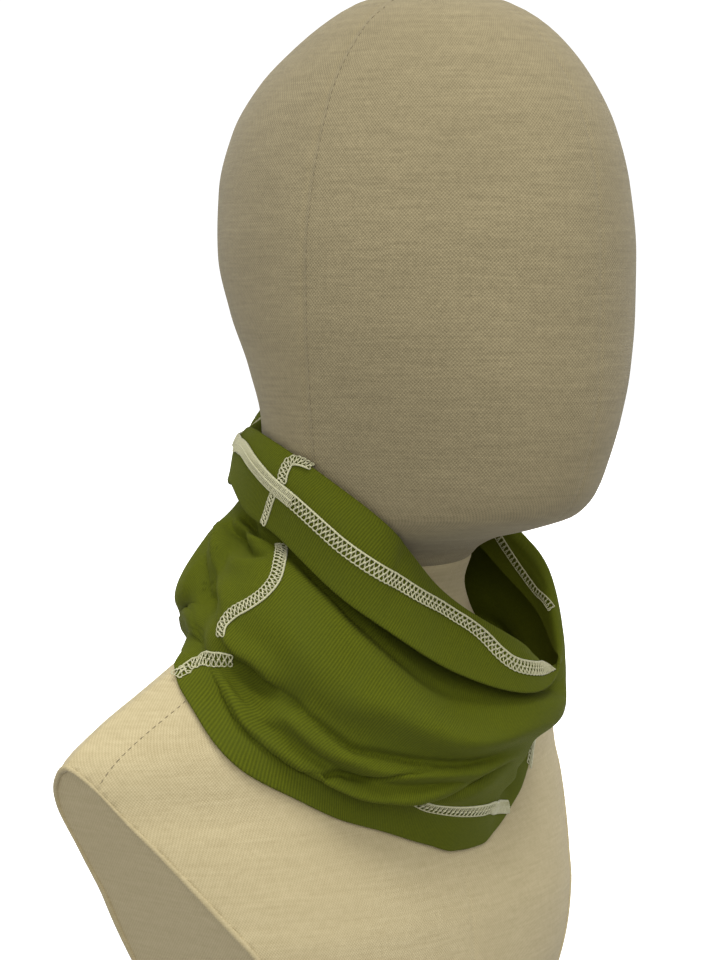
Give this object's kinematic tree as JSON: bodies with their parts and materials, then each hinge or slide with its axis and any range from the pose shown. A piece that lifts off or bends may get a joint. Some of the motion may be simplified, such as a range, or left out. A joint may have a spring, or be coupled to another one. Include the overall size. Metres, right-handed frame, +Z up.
{
  "type": "neck warmer on a limbless head-and-shoulders display form",
  "caption": "Stretch-knit tube neck warmer with its top turned over, worn bunched on a featureless, limbless head-and-shoulders display form that stands on its flat base.",
  "frame": {"origin": "centre of the bounding box, at the flat underside of the form", "axes": "+Z up, -Y the way the form faces, +X towards the wearer's left"},
  "size_m": [0.2976, 0.2046, 0.4415],
  "materials": {
    "jersey": "matt stretch jersey, olive green",
    "head_canvas": "matt woven canvas, khaki beige",
    "bust_canvas": "matt woven canvas, light beige"
  },
  "bodies": {
    "root": {"tube_body": "jersey", "top_hem": "jersey", "bottom_hem": "jersey", "form_head": "head_canvas", "form_bust": "bust_canvas"}
  },
  "joints": []
}
